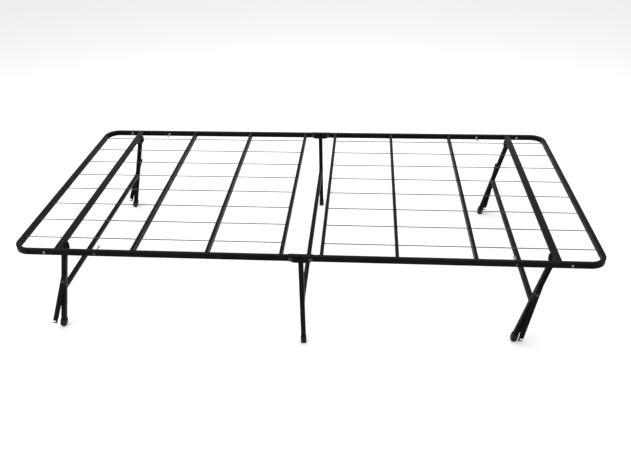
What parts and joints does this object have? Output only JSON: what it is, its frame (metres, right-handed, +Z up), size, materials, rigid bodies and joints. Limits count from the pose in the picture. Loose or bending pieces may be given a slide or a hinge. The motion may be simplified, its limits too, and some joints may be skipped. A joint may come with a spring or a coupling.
{
  "type": "folding metal bed frame",
  "caption": "Folding platform bed frame of black steel tube, hinged across the middle, with wire deck, folding end legs and hooked braces.",
  "frame": {"origin": "on the floor under the middle of the deck", "axes": "+X from the head end to the foot end, +Z up, the front side is -Y"},
  "size_m": [1.905, 0.9748, 0.362],
  "materials": {
    "black_powder_coat": "satin charcoal-black powder coat with a fine texture",
    "wire_coat": "thin grey coat on drawn wire, slightly shiny",
    "black_plastic": "moulded matt black plastic",
    "black_hardware": "black oxide fasteners, bare metal at the edges",
    "bright_zinc": "bright zinc plate on the studs and on the inserts of the headboard holes"
  },
  "bodies": {
    "center": {"hinge_saddle_front": "black_powder_coat", "hinge_saddle_rear": "black_powder_coat", "hinge_rivets_front": "black_hardware", "hinge_rivets_rear": "black_hardware", "center_leg_front": "black_powder_coat", "center_leg_rear": "black_powder_coat", "center_leg_cap_front": "black_plastic", "center_leg_cap_rear": "black_plastic", "center_crossbar": "black_powder_coat"},
    "head_half": {"head_rim_tube": "black_powder_coat", "head_slat_1": "black_powder_coat", "head_slat_2": "black_powder_coat", "head_slat_3": "black_powder_coat", "head_leg_slat": "black_powder_coat", "head_support_wires": "wire_coat", "head_brace_studs": "bright_zinc", "head_leg_bracket_front": "black_powder_coat", "head_leg_bracket_rear": "black_powder_coat", "head_leg_bolt_front": "black_hardware", "head_leg_bolt_rear": "black_hardware", "head_leg_nut_front": "black_hardware", "head_leg_nut_rear": "black_hardware"},
    "head_legs": {"head_leg_crossbar": "black_powder_coat", "head_leg_front": "black_powder_coat", "head_leg_rear": "black_powder_coat", "head_leg_cap_front": "black_plastic", "head_leg_cap_rear": "black_plastic", "head_brace_rivet_front": "black_hardware", "head_brace_rivet_rear": "black_hardware"},
    "head_brace_front_body": {"head_brace_front": "black_powder_coat"},
    "head_brace_rear_body": {"head_brace_rear": "black_powder_coat"},
    "foot_half": {"foot_rim_tube": "black_powder_coat", "foot_slat_1": "black_powder_coat", "foot_slat_2": "black_powder_coat", "foot_slat_3": "black_powder_coat", "foot_leg_slat": "black_powder_coat", "foot_support_wires": "wire_coat", "foot_brace_studs": "bright_zinc", "foot_leg_bracket_front": "black_powder_coat", "foot_leg_bracket_rear": "black_powder_coat", "foot_leg_bolt_front": "black_hardware", "foot_leg_bolt_rear": "black_hardware", "foot_leg_nut_front": "black_hardware", "foot_leg_nut_rear": "black_hardware"},
    "foot_legs": {"foot_leg_crossbar": "black_powder_coat", "foot_leg_front": "black_powder_coat", "foot_leg_rear": "black_powder_coat", "foot_leg_cap_front": "black_plastic", "foot_leg_cap_rear": "black_plastic", "foot_brace_rivet_front": "black_hardware", "foot_brace_rivet_rear": "black_hardware"},
    "foot_brace_front_body": {"foot_brace_front": "black_powder_coat"},
    "foot_brace_rear_body": {"foot_brace_rear": "black_powder_coat"}
  },
  "joints": [
    {"name": "head_fold", "type": "hinge", "parent": "center", "child": "head_half", "pos_m": [-0.0325, 0, 0.352], "axis": [0, -1, 0], "range_deg": [0, 85]},
    {"name": "foot_fold", "type": "hinge", "parent": "center", "child": "foot_half", "pos_m": [0.0325, 0, 0.352], "axis": [0, 1, 0], "range_deg": [0, 85]},
    {"name": "head_legs_fold", "type": "hinge", "parent": "head_half", "child": "head_legs", "pos_m": [-0.795, 0, 0.338], "axis": [0, -1, 0], "range_deg": [0, 100.2]},
    {"name": "foot_legs_fold", "type": "hinge", "parent": "foot_half", "child": "foot_legs", "pos_m": [0.795, 0, 0.338], "axis": [0, 1, 0], "range_deg": [-26.4, 73.8]},
    {"name": "head_brace_front_swing", "type": "hinge", "parent": "head_legs", "child": "head_brace_front_body", "pos_m": [-0.8256, -0.441, 0.20754], "axis": [0, 1, 0], "range_deg": [-147.9, 0]},
    {"name": "head_brace_rear_swing", "type": "hinge", "parent": "head_legs", "child": "head_brace_rear_body", "pos_m": [-0.8256, 0.441, 0.20754], "axis": [0, 1, 0], "range_deg": [-147.9, 0]},
    {"name": "foot_brace_front_swing", "type": "hinge", "parent": "foot_legs", "child": "foot_brace_front_body", "pos_m": [0.7644, -0.441, 0.20754], "axis": [0, -1, 0], "range_deg": [-145.5, 0]},
    {"name": "foot_brace_rear_swing", "type": "hinge", "parent": "foot_legs", "child": "foot_brace_rear_body", "pos_m": [0.7644, 0.441, 0.20754], "axis": [0, -1, 0], "range_deg": [-145.5, 0]}
  ]
}
